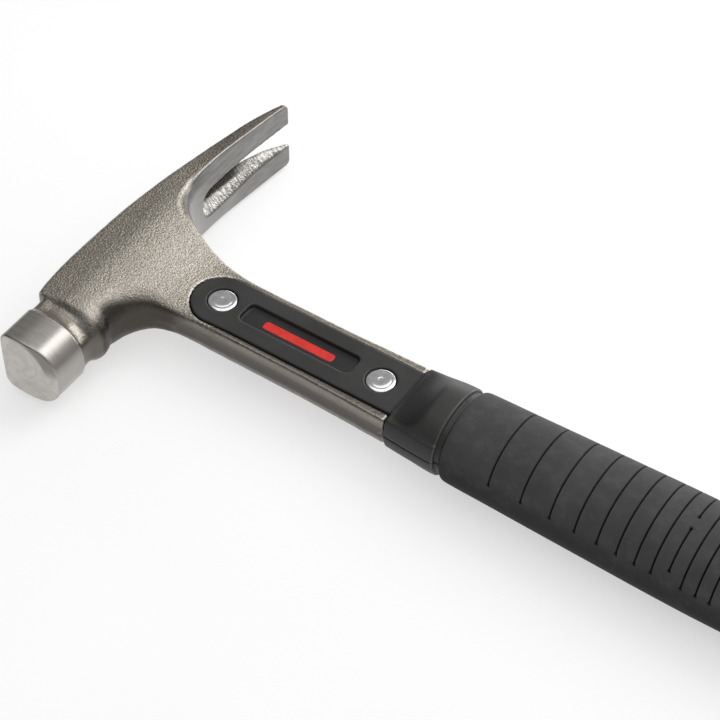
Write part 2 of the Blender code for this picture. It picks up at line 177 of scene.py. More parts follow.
def skin(field, axes, relax=2):
    """Quad skin of a field's zero surface, with its points brought onto the surface."""
    xs, ys, zs = axes
    values = np.empty([len(a) for a in axes], np.float32)
    for i in range(0, len(xs), 16):
        values[i:i + 16] = field(xs[i:i + 16, None, None], ys[None, :, None], zs[None, None, :])
    inside = values < 0
    count = np.zeros([len(a) - 1 for a in axes], np.int8)
    for i, j, k in CORNERS:
        count += inside[i:len(xs) - 1 + i, j:len(ys) - 1 + j, k:len(zs) - 1 + k]
    active = (count > 0) & (count < 8)
    ids = np.full(active.shape, -1, np.int32)
    cell = np.argwhere(active)
    ids[active] = np.arange(len(cell), dtype=np.int32)
    place = np.zeros((len(cell), 3))
    hits = np.zeros(len(cell))
    for a in CORNERS:
        for axis in range(3):
            if a[axis]:
                continue
            b = list(a)
            b[axis] = 1
            ca, cb = cell + a, cell + b
            fa = values[ca[:, 0], ca[:, 1], ca[:, 2]].astype(float)
            fb = values[cb[:, 0], cb[:, 1], cb[:, 2]].astype(float)
            cut = (fa < 0) != (fb < 0)
            t = np.where(cut, fa / np.where(cut, fa - fb, 1.0), 0.0)
            pa = np.stack([xs[ca[:, 0]], ys[ca[:, 1]], zs[ca[:, 2]]], 1)
            pb = np.stack([xs[cb[:, 0]], ys[cb[:, 1]], zs[cb[:, 2]]], 1)
            place += np.where(cut[:, None], pa + t[:, None] * (pb - pa), 0.0)
            hits += cut
    place /= hits[:, None]
    quads = []
    for axis, ring in ((0, ((0, 0, 0), (0, 1, 0), (0, 1, 1), (0, 0, 1))),
                       (1, ((0, 0, 0), (0, 0, 1), (1, 0, 1), (1, 0, 0))),
                       (2, ((0, 0, 0), (1, 0, 0), (1, 1, 0), (0, 1, 0)))):
        here = [slice(1, -1)] * 3
        there = [slice(1, -1)] * 3
        here[axis], there[axis] = slice(0, -1), slice(1, None)
        near, far = inside[tuple(here)], inside[tuple(there)]
        at = np.argwhere(near != far)
        out = near[tuple(at.T)]
        quad = np.stack([ids[tuple((at + corner).T)] for corner in ring], 1)
        quad[~out] = quad[~out][:, ::-1]
        quads.append(quad)
    quads = np.concatenate(quads)
    pairs = np.concatenate([quads[:, [i, (i + 1) % 4]] for i in range(4)])
    links = np.bincount(pairs.ravel(), minlength=len(place))
    pitch = min(np.diff(a).min() for a in axes)

    def settle(p, rounds):
        for _ in range(rounds):
            g = slope_of(field, p)
            f = field(p[:, 0], p[:, 1], p[:, 2])
            move = -g * (f / np.maximum((g ** 2).sum(1), 0.05))[:, None]
            size = np.linalg.norm(move, axis=1)
            p = p + move * np.minimum(1, 0.5 * pitch / np.maximum(size, 1e-9))[:, None]
        return p

    place = settle(place, 2)
    for _ in range(relax):
        mean = np.stack([np.bincount(pairs[:, 0], place[pairs[:, 1], c], len(place))
                         + np.bincount(pairs[:, 1], place[pairs[:, 0], c], len(place)) for c in range(3)], 1)
        shift = 0.5 * (mean / links[:, None] - place)
        g = slope_of(field, place)
        g /= np.maximum(np.linalg.norm(g, axis=1), 1e-6)[:, None]
        place = settle(place + shift - g * (shift * g).sum(1)[:, None], 1)
    return place, quads


def axis(*spans):
    """Lattice line made of (start, end, pitch) spans."""
    parts = [np.linspace(a, b, max(2, int(round((b - a) / s)) + 1))[:-1] for a, b, s in spans]
    return np.concatenate(parts + [[spans[-1][1]]])


def piece(name, points, faces, mat, replaces=None):
    """A visible piece from points in the working frame and a list or array of faces."""
    co = ((np.asarray(points, float) - ORIGIN) * MM).astype(np.float32)
    mesh = bpy.data.meshes.new(name)
    mesh.vertices.add(len(co))
    mesh.vertices.foreach_set("co", co.ravel())
    if isinstance(faces, np.ndarray):
        sizes, loops = np.full(len(faces), faces.shape[1]), faces.ravel()
    else:
        sizes, loops = np.array([len(f) for f in faces]), np.concatenate([np.asarray(f) for f in faces])
    mesh.loops.add(len(loops))
    mesh.loops.foreach_set("vertex_index", loops.astype(np.int32))
    mesh.polygons.add(len(sizes))
    mesh.polygons.foreach_set("loop_start", np.concatenate([[0], np.cumsum(sizes)[:-1]]).astype(np.int32))
    mesh.update(calc_edges=True)
    mesh.validate()
    mesh.shade_smooth()
    mesh.materials.append(mat)
    obj = bpy.data.objects.new(name, mesh)
    bpy.context.scene.collection.objects.link(obj)
    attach(obj, "root")
    if replaces:
        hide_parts(replaces)
    return obj


def carry(obj, name, values):
    obj.data.attributes.new(name, "FLOAT", "POINT").data.foreach_set("value", np.asarray(values, np.float32))


def grid_faces(rows, columns, closed=True):
    wrap = columns if closed else columns - 1
    i, j = np.meshgrid(np.arange(rows - 1), np.arange(wrap), indexing="ij")
    k = (j + 1) % columns
    return np.stack([i * columns + j, i * columns + k, (i + 1) * columns + k, (i + 1) * columns + j], -1).reshape(-1, 4)


# ---------------------------------------------------------------- materials
class Nodes:
    """Small helper that wires a material's nodes."""

    def __init__(self, name):
        self.mat = bpy.data.materials.new(name)
        self.mat.use_nodes = True
        self.tree = self.mat.node_tree
        self.shader = self.tree.nodes["Principled BSDF"]
        self.where = self.add("ShaderNodeTexCoord").outputs["Object"]

    def add(self, kind, **props):
        node = self.tree.nodes.new(kind)
        for key, value in props.items():
            setattr(node, key, value)
        return node

    def join(self, source, socket):
        if hasattr(source, "links"):
            self.tree.links.new(source, socket)
        else:
            socket.default_value = source

    def stretched(self, x, y, z):
        node = self.add("ShaderNodeMapping")
        self.join(self.where, node.inputs["Vector"])
        node.inputs["Scale"].default_value = (x, y, z)
        return node.outputs["Vector"]

    def noise(self, per_mm, detail=3.0, rough=0.55, vector=None, warp=0.0):
        node = self.add("ShaderNodeTexNoise")
        self.join(vector if vector is not None else self.where, node.inputs["Vector"])
        node.inputs["Scale"].default_value = per_mm * 1000.0 if vector is None else per_mm
        node.inputs["Detail"].default_value = detail
        node.inputs["Roughness"].default_value = rough
        node.inputs["Distortion"].default_value = warp
        return node.outputs["Fac"]

    def cells(self, per_mm, feature="F1"):
        node = self.add("ShaderNodeTexVoronoi", feature=feature)
        self.join(self.where, node.inputs["Vector"])
        node.inputs["Scale"].default_value = per_mm * 1000.0
        return node.outputs["Distance"]

    def attribute(self, name):
        return self.add("ShaderNodeAttribute", attribute_name=name).outputs["Fac"]

    def math(self, operation, a, b=0.0, clamp=False):
        node = self.add("ShaderNodeMath", operation=operation, use_clamp=clamp)
        self.join(a, node.inputs[0])
        self.join(b, node.inputs[1])
        return node.outputs[0]

    def span(self, value, low, high, to_low=0.0, to_high=1.0):
        node = self.add("ShaderNodeMapRange")
        node.interpolation_type = "SMOOTHSTEP"
        self.join(value, node.inputs["Value"])
        for key, v in (("From Min", low), ("From Max", high), ("To Min", to_low), ("To Max", to_high)):
            self.join(v, node.inputs[key])
        return node.outputs["Result"]

    def blend(self, share, a, b):
        node = self.add("ShaderNodeMix", data_type="RGBA")
        self.join(share, node.inputs["Factor"])
        for key, v in (("A", a), ("B", b)):
            socket = [s for s in node.inputs if s.name == key and s.type == "RGBA"][0]
            self.join(v if hasattr(v, "links") else (*v, 1.0), socket)
        return [s for s in node.outputs if s.type == "RGBA"][0]

    def mix(self, share, a, b):
        node = self.add("ShaderNodeMix", data_type="FLOAT")
        self.join(share, node.inputs["Factor"])
        for key, v in (("A", a), ("B", b)):
            socket = [s for s in node.inputs if s.name == key and s.type == "VALUE"][0]
            self.join(v, socket)
        return [s for s in node.outputs if s.type == "VALUE"][0]

    def bump(self, height, depth_mm, strength=1.0, under=None):
        node = self.add("ShaderNodeBump")
        node.inputs["Distance"].default_value = depth_mm * MM
        self.join(strength, node.inputs["Strength"])
        self.join(height, node.inputs["Height"])
        if under is not None:
            self.join(under, node.inputs["Normal"])
        return node.outputs["Normal"]

    def finish(self, colour, roughness, metallic, normal=None, **constants):
        for source, key in ((colour, "Base Color"), (roughness, "Roughness"), (metallic, "Metallic")):
            if isinstance(source, tuple) and len(source) == 3:
                source = (*source, 1.0)
            self.join(source, self.shader.inputs[key])
        if normal is not None:
            self.join(normal, self.shader.inputs["Normal"])
        for key, value in constants.items():
            self.shader.inputs[key.replace("_", " ")].default_value = value
        return self.mat


def steel_material():
    """Blasted and lacquered forging, with ground poll, satin claw faces and bright worn edges, with painted shade and
    painted highlights laid into its colour by position.
    """
    n = Nodes("hammer_forged_steel")
    ground, satin, bright, side, edge = (n.attribute(a) for a in ("ground", "satin", "bright", "side", "edge"))
    face_finish_and_painted_stripe, sleek, painted_shade, poll_painted_shade = (n.attribute(a) for a in ("face_finish_and_painted_stripe", "sleek", "painted_shade", "poll_painted_shade"))
    cloud = n.noise(0.045, 3.0, 0.6)
    mottle = n.noise(0.5, 4.0, 0.6)
    pebble = n.noise(1.5, 2.0, 0.55)
    grit = n.noise(3.4, 2.0, 0.6)
    plain = n.math("SUBTRACT", 1.0, n.math("ADD", n.math("MULTIPLY", side, 0.6), n.math("MULTIPLY", sleek, 0.45)), clamp=True)
    colour = n.blend(n.span(cloud, 0.35, 0.65), (0.208, 0.186, 0.153), (0.232, 0.207, 0.171))
    # painted light: the web is lighter than the flank
    colour = n.blend(n.attribute("web_painted_light"), colour, n.blend(n.span(cloud, 0.35, 0.65), (0.299, 0.274, 0.234), (0.333, 0.306, 0.262)))
    colour = n.blend(n.math("MULTIPLY", sleek, 0.4), colour, (0.22, 0.197, 0.168))
    colour = n.blend(n.math("MULTIPLY", plain, n.span(pebble, 0.51, 0.66, 0.0, 0.40)), colour, (0.43, 0.394, 0.343))
    colour = n.blend(n.math("MULTIPLY", plain, n.span(pebble, 0.35, 0.48, 0.40, 0.0)), colour, (0.142, 0.122, 0.099))
    # darker brown scale on the flange sides; the same mask carries painted shade in the throat, on the poll neck's rear
    # wall, on a rail top, on the claw's top flank and on the rails' lower half
    colour = n.blend(n.math("MULTIPLY", side, 0.95), colour, (0.056, 0.048, 0.042))
    # bright worn edges, plus painted highlights on the channel's lip and on the rounded roll and fold at the claw root
    colour = n.blend(n.math("MULTIPLY", n.span(edge, 0.15, 0.75), n.span(grit, 0.25, 0.6, 0.45, 0.8)), colour, (0.56, 0.53, 0.48))
    streak = n.noise(1.0, 2.0, 0.5, n.stretched(120.0, 4200.0, 120.0))
    fine = n.noise(1.0, 2.0, 0.5, n.stretched(900.0, 160.0, 900.0))
    comb = n.noise(1.0, 3.0, 0.6, n.stretched(260.0, 1350.0, 640.0))
    swirl = n.noise(0.16, 4.0, 0.6, warp=1.2)
    ground_colour = n.blend(n.span(streak, 0.3, 0.7), (0.350, 0.331, 0.306), (0.412, 0.391, 0.362))
    # painted shade: one side of the poll's top and the face's bevel darker
    ground_colour = n.blend(n.math("MULTIPLY", poll_painted_shade, 0.75), ground_colour, n.blend(n.span(streak, 0.3, 0.7), (0.246, 0.232, 0.214), (0.30, 0.284, 0.262)))
    # the striking face's own finish, also laid as a painted highlight stripe across the poll's top
    face_colour = n.blend(n.span(swirl, 0.35, 0.65), (0.436, 0.413, 0.381), (0.528, 0.50, 0.462))
    colour = n.blend(ground, colour, n.blend(face_finish_and_painted_stripe, ground_colour, face_colour))
    satin_colour = n.blend(n.span(fine, 0.3, 0.7), (0.178, 0.171, 0.164), (0.24, 0.231, 0.221))
    # painted highlight on the satin face near the claw root
    satin_colour = n.blend(n.math("MULTIPLY", n.attribute("root"), 0.8), satin_colour, (0.30, 0.289, 0.277))
    colour = n.blend(satin, colour, satin_colour)
    colour = n.blend(bright, colour, n.blend(n.span(comb, 0.35, 0.65), (0.165, 0.156, 0.144), (0.54, 0.524, 0.492)))
    # painted shade: dark slot bottom and slot lips, the rails' lower half and their dark line, a band inside the claw
    # root and part of the face's bevel
    colour = n.blend(painted_shade, colour, (0.045, 0.040, 0.035))
    rough = n.span(mottle, 0.3, 0.7, 0.31, 0.38)
    rough = n.mix(sleek, rough, 0.30)
    rough = n.mix(side, rough, 0.42)
    rough = n.mix(ground, rough, n.span(streak, 0.3, 0.7, 0.36, 0.42))
    rough = n.mix(satin, rough, 0.34)
    rough = n.mix(bright, rough, 0.30)
    smooth = n.math("ADD", ground, satin, clamp=True)
    cast = n.math("SUBTRACT", plain, n.math("ADD", n.math("MULTIPLY", smooth, 0.95), n.math("MULTIPLY", sleek, 0.2)), clamp=True)
    relief = n.bump(pebble, 0.56, n.math("MULTIPLY", cast, 0.9))
    relief = n.bump(grit, 0.08, n.math("MULTIPLY", cast, 0.7), relief)
    relief = n.bump(streak, 0.005, n.math("MULTIPLY", ground, 0.6), relief)
    relief = n.bump(comb, 0.14, n.math("MULTIPLY", bright, 0.8), relief)
    n.join(n.math("MULTIPLY", n.span(side, 0.75, 1.0, 0.5, 0.08), n.span(painted_shade, 0.6, 0.95, 1.0, 0.0)), n.shader.inputs["Coat Weight"])
    return n.finish(colour, rough, 1.0, relief, Coat_Roughness=0.22)


def nylon_material():
    """Moulded glass-filled nylon with a fine spark-eroded grain and faint rub marks, a painted highlight on the
    collar's rear rim and painted shade on the ramp and pocket floor.
    """
    n = Nodes("hammer_black_nylon")
    cloud = n.noise(0.06, 3.0, 0.6)
    grain = n.noise(2.2, 3.0, 0.6)
    rub = n.noise(1.0, 3.0, 0.6, n.stretched(60.0, 700.0, 700.0))
    edge, rim = n.attribute("edge"), n.attribute("rim")
    colour = n.blend(n.span(cloud, 0.3, 0.7), (0.0265, 0.0255, 0.0247), (0.0355, 0.0345, 0.0335))
    colour = n.blend(n.span(rub, 0.6, 0.85, 0.0, 0.5), colour, (0.043, 0.043, 0.044))
    colour = n.blend(n.span(edge, 0.2, 0.9, 0.0, 0.5), colour, (0.05, 0.05, 0.052))
    # painted highlight on the collar's rear rim, broken up by the rub marks
    colour = n.blend(n.math("MULTIPLY", n.span(rim, 0.1, 0.6), n.span(rub, 0.3, 0.6, 0.35, 0.95)), colour, (0.13, 0.127, 0.122))
    # painted shade on the collar ramp and the pocket floor
    colour = n.blend(n.math("MULTIPLY", n.attribute("shade"), 0.85), colour, (0.010, 0.0096, 0.0094))
    rough = n.math("ADD", n.span(grain, 0.3, 0.7, 0.40, 0.50), n.span(cloud, 0.3, 0.7, -0.03, 0.04))
    rough = n.mix(n.span(rim, 0.1, 0.6), rough, 0.2)
    relief = n.bump(grain, 0.03, 0.55)
    return n.finish(colour, rough, 0.0, relief, Specular_IOR_Level=0.32)


def rubber_material():
    """Matte moulded rubber with dusty specks, painted lighter on its upward side, with painted shade in its slits."""
    n = Nodes("hammer_grip_rubber")
    cloud = n.noise(0.05, 4.0, 0.6)
    speck = n.noise(1.6, 3.0, 0.65)
    grain = n.noise(3.2, 2.0, 0.6)
    slit_painted_shade = n.attribute("slit_painted_shade")
    colour = n.blend(n.span(cloud, 0.3, 0.7), (0.024, 0.024, 0.0244), (0.032, 0.032, 0.0325))
    # painted light: the upward side is lighter; the dusty specks and patches below gather there too
    colour = n.blend(n.attribute("dust_and_top_light"), colour, n.blend(n.span(cloud, 0.3, 0.7), (0.056, 0.056, 0.0562), (0.068, 0.068, 0.0682)))
    worn = n.span(n.attribute("dust_and_top_light"), 0.0, 1.0, 0.4, 1.0)
    colour = n.blend(n.math("MULTIPLY", worn, n.span(n.noise(0.2, 4.0, 0.65), 0.45, 0.75, 0.0, 0.4)), colour, (0.098, 0.097, 0.097))
    colour = n.blend(n.math("MULTIPLY", worn, n.span(speck, 0.58, 0.8, 0.0, 0.5)), colour, (0.088, 0.087, 0.086))
    # painted shade at the bottom of the slits
    colour = n.blend(slit_painted_shade, colour, (0.006, 0.006, 0.006))
    rough = n.math("ADD", n.span(speck, 0.3, 0.7, 0.56, 0.68), n.span(cloud, 0.3, 0.7, -0.03, 0.03))
    relief = n.bump(speck, 0.05, 0.5)
    relief = n.bump(grain, 0.02, 0.5, relief)
    return n.finish(colour, rough, 0.0, relief, Specular_IOR_Level=0.07)


def chrome_material():
    """Plated rivet head with fine turning marks."""
    n = Nodes("hammer_rivet_chrome")
    ring = n.attribute("turning")
    cloud = n.noise(0.5, 3.0, 0.6)
    scratch = n.noise(1.0, 3.0, 0.6, n.stretched(350.0, 2600.0, 350.0))
    wave = n.math("SINE", n.math("MULTIPLY", ring, 38.0))
    colour = n.blend(n.span(cloud, 0.3, 0.7), (0.66, 0.664, 0.67), (0.77, 0.774, 0.78))
    rough = n.math("ADD", n.span(scratch, 0.45, 0.8, 0.17, 0.26), n.span(cloud, 0.3, 0.7, 0.0, 0.04))
    relief = n.bump(wave, 0.0006, 0.5)
    relief = n.bump(cloud, 0.006, 0.4, relief)
    return n.finish(colour, rough, 1.0, relief)


def print_material():
    """Red pad-printed ink, slightly uneven."""
    n = Nodes("hammer_red_print")
    cloud = n.noise(0.4, 3.0, 0.6)
    speck = n.noise(2.4, 2.0, 0.6)
    colour = n.blend(n.span(cloud, 0.3, 0.7), (0.60, 0.018, 0.012), (0.74, 0.030, 0.020))
    colour = n.blend(n.span(speck, 0.62, 0.8, 0.0, 0.6), colour, (0.42, 0.012, 0.010))
    rough = n.span(speck, 0.3, 0.7, 0.40, 0.52)
    return n.finish(colour, rough, 0.0, n.bump(speck, 0.02, 0.4))


def floor_material():
    """White light table, which keeps the shadows under the hammer pale."""
    n = Nodes("pale_floor")
    cloud = n.noise(0.004, 3.0, 0.5)
    colour = n.blend(n.span(cloud, 0.3, 0.7), (0.40, 0.40, 0.40), (0.42, 0.42, 0.42))
    return n.finish(colour, 0.85, 0.0, Emission_Color=(1.0, 1.0, 1.0, 1.0), Emission_Strength=0.575)


STEEL, NYLON, RUBBER, CHROME, PRINT = (make() for make in (
    steel_material, nylon_material, rubber_material, chrome_material, print_material))

# ---------------------------------------------------------------- forged head
FACE_Y, TIP_Y = -59.5, 87.5
POLL_X, POLL_HALF_X, POLL_HALF_Z = -37.7, 11.9, 13.0
POLL_LOW_X = 11.9
POLL_TOP_R, POLL_LOW_R, FACE_CHAMFER = 3.6, 8.6, 0.5
SHOULDER_Y = -37.0
NECK_END_X, NECK_HALF_Z = 76.2, 5.9
CHANNEL_R, WEB_HALF_Z = 10.9, 1.8
RIVET_X = (0.0, 65.6)

# outline curves, each with the solid on its left: X, Y, edge radius, draft
TOP_LINE = traced([
    (-33.0, 97.0, 0.5, 0.0), (-35.7, 87.5, 0.5, 0.0), (-38.2, 80.0, 0.7, 0.0), (-40.9, 70.0, 0.9, 0.0), (-43.0, 60.0, 1.0, 0.01),
    (-45.0, 50.0, 1.1, 0.02), (-46.9, 40.0, 1.3, 0.03), (-48.45, 32.0, 1.7, 0.03), (-49.75, 24.0, 2.0, 0.03),
    (-50.9, 16.0, 2.1, 0.03), (-51.75, 8.0, 2.2, 0.03), (-52.25, 0.0, 2.2, 0.03), (-52.6, -10.0, 2.0, 0.03),
    (-52.65, -20.0, 1.7, 0.03), (-52.4, -28.0, 1.6, 0.03), (-52.0, -33.0, 1.6, 0.03), (-51.3, -37.0, 1.6, 0.03), (-49.8, -46.0, 1.6, 0.03)])
FACE_LINE = traced([
    (-22.9, -46.0, 7.6, 0.0), (-23.3, -41.0, 7.6, 0.0), (-23.9, -36.8, 7.6, 0.0), (-25.1, -33.4, 7.8, 0.0), (-26.2, -30.6, 8.0, 0.0),
    (-25.8, -26.6, 7.6, 0.0), (-24.2, -21.4, 6.8, 0.01), (-19.9, -16.5, 5.0, 0.05), (-13.3, -14.6, 3.0, 0.11),
    (-5.0, -14.1, 1.6, 0.17), (6.0, -14.1, 1.0, 0.19), (40.0, -14.1, 0.65, 0.19), (50.0, -14.3, 0.65, 0.19), (60.0, -14.6, 0.65, 0.19),
    (70.0, -14.95, 0.65, 0.19), (76.0, -15.1, 0.65, 0.19), (92.0, -15.3, 0.65, 0.19)])
CLAW_LINE = traced([
    (92.0, 15.0, 0.65, 0.19), (76.0, 14.85, 0.65, 0.19), (70.0, 14.75, 0.65, 0.19), (60.0, 14.5, 0.65, 0.19), (50.0, 14.2, 0.65, 0.19),
    (40.0, 14.05, 0.65, 0.19), (10.0, 14.0, 0.65, 0.19), (3.0, 14.15, 1.0, 0.18), (-5.0, 15.0, 1.2, 0.14), (-13.2, 16.4, 1.4, 0.08),
    (-19.2, 17.8, 1.6, 0.04), (-23.2, 19.2, 1.9, 0.02), (-26.8, 20.8, 2.3, 0.0), (-30.0, 22.6, 2.6, 0.0), (-33.2, 25.3, 2.8, 0.0),
    (-35.6, 28.8, 2.6, 0.0), (-36.9, 32.6, 2.0, 0.0), (-37.5, 36.2, 1.4, 0.0), (-37.7, 40.0, 0.9, 0.0), (-37.6, 50.0, 0.55, 0.0),
    (-37.1, 60.0, 0.5, 0.0), (-36.3, 70.0, 0.5, 0.0), (-35.2, 80.0, 0.45, 0.0), (-34.2, 87.5, 0.4, 0.0), (-33.0, 97.0, 0.5, 0.0)])
LOW, HIGH = (-58.0, -64.0), (156.0, 92.0)
TOP, FACE, CLAW = (LineField(line, LOW, HIGH) for line in (TOP_LINE, FACE_LINE, CLAW_LINE))

flank_of = eased([(-70, 12.2), (-36.6, 12.5), (-20, 13.2), (0, 14.0), (16, 14.7), (32, 15.3), (40, 15.4), (100, 15.4)])
groove_of = eased([(-80, 0.0), (-44.75, 0.0), (-44.3, 0.3), (-43.5, 0.68), (-42.4, 0.93), (-41.0, 1.0), (-39.6, 0.97), (-38.4, 0.87),
                   (-37.0, 0.85), (-33, 1.0)])
SLOT = [(30.0, -9.0, -9.0), (35.6, -3.4, -3.6), (36.6, -0.6, -1.6), (37.2, 1.9, -0.5), (38.2, 4.0, 0.3), (39.6, 5.2, 0.6), (41.6, 5.95, 0.8),
        (44.0, 6.2, 0.9), (48.0, 6.25, 1.0), (56.0, 6.05, 1.1), (64.0, 5.65, 1.3), (72.0, 5.3, 2.1), (79.0, 5.2, 3.1), (84.0, 5.2, 4.4),
        (87.5, 5.2, 5.0), (100.0, 5.2, 5.2)]
slot_in, slot_out = eased(SLOT, 1), eased(SLOT, 2)
claw_top = eased([(y, x) for x, y, *_ in reversed(TOP_LINE[::8])])
claw_in = eased([(20, -32.6), (24, -34), (32, -36.9), (40, -37.7), (50, -37.6), (60, -37.1), (70, -36.3), (80, -35.2), (87.5, -34.2), (100, -32.4)])


def swell(y, z):
    """How far the claw's inner face stands out across its thickness, full in the middle near the root."""
    return 1.3 * (1 - (z / 11.5) ** 2) * step_up(18.0, 34.0, y) * (1 - step_up(46.0, 74.0, y))


def bulge(x):
    """The channel and the tongue in it are a little wider round the front rivet."""
    return 0.45 * (1 - step_up(-3.0, 13.0, x))


def slot_gap(x, y, z):
    """Positive inside the nail slot, which is wide on the claw's inner face and tight on its back."""
    inner = claw_in(y) + swell(y, 6.0)
    up = 1 - np.clip((inner - x) / np.maximum(inner - claw_top(y), 1.2), -0.6, 1.0)
    share = np.where(up > 1, 1 + 1.6 * (up - 1), np.maximum(up, 0) ** 1.6)
    return slot_out(y) + (slot_in(y) - slot_out(y)) * share - np.abs(z)


def poll_field(x, y, z):
    px, az = x - POLL_X, np.abs(z)
    crowned = az - POLL_HALF_Z - 0.3 + (px + 3.0) ** 2 / np.where(px > -3.0, 80.0, 95.0)
    section = np.where(px < 0, rounded(-px - POLL_HALF_X, crowned, POLL_TOP_R), rounded(px - POLL_LOW_X, crowned, POLL_LOW_R))
    flat = step_up(0.35, 0.9, az / np.maximum(np.hypot(px, az), 0.1)) * step_up(-13.5, -4.0, px)
    f = section + groove_of(y) * (0.45 + 0.55 * step_up(-6.0, 6.0, px) + 2.1 * flat)
    f = soft_max(f, (section + FACE_Y - y + FACE_CHAMFER) * 0.7071, 0.4)
    f = soft_max(f, (np.hypot(np.maximum(px + 4.0, 0.0), z) - 11.1) * 0.24 + (FACE_Y - y) * 0.97, 0.25)
    f = soft_max(f, FACE_Y + (px ** 2 + z ** 2) / 480.0 - y, 0.4)
    return np.maximum(f, y + 33.0)


def body_field(x, y, z):
    rows = [line.at(x, y) for line in (TOP, FACE, CLAW)]
    d = [rows[0][0], rows[1][0], rows[2][0] - swell(y, z)]
    far = np.maximum(np.maximum(d[0], d[1]), d[2])
    weigh = [np.exp(np.clip((v - far) / 1.2, -40, 0)) for v in d]
    total = weigh[0] + weigh[1] + weigh[2]
    r = sum(w * row[1] for w, row in zip(weigh, rows)) / total
    draft = sum(w * row[2] for w, row in zip(weigh, rows)) / total
    share = 1 - step_up(-41.0, -5.0, x)
    half = NECK_HALF_Z + (flank_of(y) - NECK_HALF_Z) * share
    az = np.abs(z)
    seam = 0.06 * np.exp(-(z / 0.5) ** 2) * step_up(-22.0, -8.0, x)
    f = rounded(far + draft * az - seam, az - half, r)
    f = rounded(f, SHOULDER_Y - y, 0.9 + 1.7 * step_up(-48.0, -41.0, x) + 1.2 * step_up(-37.0, -27.0, x))
    f = soft_max(f, y - TIP_Y, 0.6)
    f = soft_max(f, (y - TIP_Y + az - half + 1.1) * 0.7071, 0.8)
    return soft_max(f, x - NECK_END_X, 1.4)


def head_field(x, y, z):
    f = soft_min(body_field(x, y, z), poll_field(x, y, z), 0.9 + 0.5 * step_up(-48.0, -41.0, x) + 3.0 * step_up(-36.0, -27.5, x))
    az = np.abs(z)
    tang = np.maximum(np.maximum(np.abs(y) - 8.5, az - WEB_HALF_Z), np.maximum(50.0 - x, x - 150.0))
    f = soft_max(f, slot_gap(x, y, z) * 0.85, 0.6)
    lane = np.where(x < 0, np.hypot(x, y), np.abs(y)) - CHANNEL_R - bulge(x)
    f = soft_max(f, -soft_max(lane, WEB_HALF_Z - az, 0.5), 0.7 + 0.2 * step_up(6.0, 0.0, x))
    f = np.minimum(f, tang)
    for rx in RIVET_X:
        f = np.maximum(f, 3.2 - np.hypot(x - rx, y) + 0.0 * az)
    return f


head_axes = (axis((-54.0, 78.0, HEAD_RES), (78.0, 152.0, 2.0)), axis((-61.0, 89.0, HEAD_RES)), axis((-16.75, 16.75, HEAD_RES)))
points, quads = skin(head_field, head_axes)
x, y, z = points.T
normal = slope_of(head_field, points)
normal /= np.maximum(np.linalg.norm(normal, axis=1), 1e-6)[:, None]


def bend_of(field, p, reach):
    """Mean curvature of the surface, positive on outward edges."""
    total = -6.0 * field(p[:, 0], p[:, 1], p[:, 2])
    for c in range(3):
        e = np.zeros(3)
        e[c] = reach
        for q in (p + e, p - e):
            total = total + field(q[:, 0], q[:, 1], q[:, 2])
    return total / reach ** 2


def thick_of(x, y):
    """Half thickness of the forging."""
    return NECK_HALF_Z + (flank_of(y) - NECK_HALF_Z) * (1 - step_up(-41.0, -5.0, x))


poll_zone = step_up(-44.0, -44.7, y)
lean = np.hypot(normal[:, 0], normal[:, 2])
# painted shade: a dark crescent on the face's bevel
bevel_painted_shade = poll_zone * step_up(0.10, 0.19, lean) * step_up(-0.86, -0.93, normal[:, 1]) * step_up(0.5, 6.5, z)
across = x - POLL_X
top_zone = poll_zone * step_up(0.3, 0.75, np.abs(normal[:, 2]))
slot_zone = step_up(-0.55, -0.15, slot_gap(x, y, z)) * (y > 36) * step_up(0.95, 0.75, np.abs(normal[:, 0]) * (normal[:, 0] < 0))
claw_side = CLAW.at(x, y)[0] - swell(y, z)
inner_zone = step_up(-0.9, -0.25, claw_side) * step_up(16.0, 22.0, y) * (1 - slot_zone)
face_side = FACE.at(x, y)[0]
# darker scale on the flange sides; lines below add painted shade to this mask
flange_scale_and_painted_shade = np.maximum(step_up(-1.1, -0.35, face_side), step_up(-1.1, -0.35, claw_side)) * step_up(-24.0, -8.0, x) * step_up(0.5, 0.75, np.abs(normal[:, 1]))
# painted shade: the rails' lower half darker than their upper half
upper_painted_shade_share = 0.68 - 0.24 * step_up(5.0, 55.0, x)
flange_scale_and_painted_shade *= upper_painted_shade_share + (0.8 - upper_painted_shade_share) * step_up(3.0, 1.5, z) + 0.2 * step_up(0.4, -0.4, z)
# painted shade in the throat under the head
throat = step_up(-20.0, -27.0, y) * step_up(-38.5, -36.0, y)
throat_painted_shade = step_up(0.80 + 0.13 * throat, 0.45 + 0.17 * throat, np.abs(normal[:, 2])) * step_up(-40.0, -33.0, x) * step_up(14.0, 4.0, y) * (0.72 + 0.28 * step_up(-36.8, -34.5, y))
# painted shade on the rails' lower half
rail_low_painted_shade = flange_scale_and_painted_shade * (0.1 * step_up(2.8, 1.5, z) + 0.5 * step_up(0.4, -0.4, z)) * step_up(-14.0, -2.0, x)
# painted shade on the rear wall of the poll's neck
groove_wall_painted_shade = step_up(-0.12, -0.45, normal[:, 1]) * step_up(-40.5, -39.0, y) * step_up(-31.5, -34.0, y)
# painted shade on a face-side rail top and on the claw's top flank
flange_scale_and_painted_shade = np.maximum(flange_scale_and_painted_shade, 0.3 * step_up(0.0, 8.0, x) * step_up(0.6, 0.9, np.abs(normal[:, 2])) * (y < 0))
flange_scale_and_painted_shade = np.maximum(flange_scale_and_painted_shade, 0.58 * step_up(34.0, 62.0, y) * step_up(0.5, 0.8, np.abs(normal[:, 2])))
flange_scale_and_painted_shade = np.maximum(np.maximum(flange_scale_and_painted_shade, throat_painted_shade * step_up(4.0, -14.0, x)), groove_wall_painted_shade * (0.35 + 0.4 * step_up(-46.0, -37.0, x)))
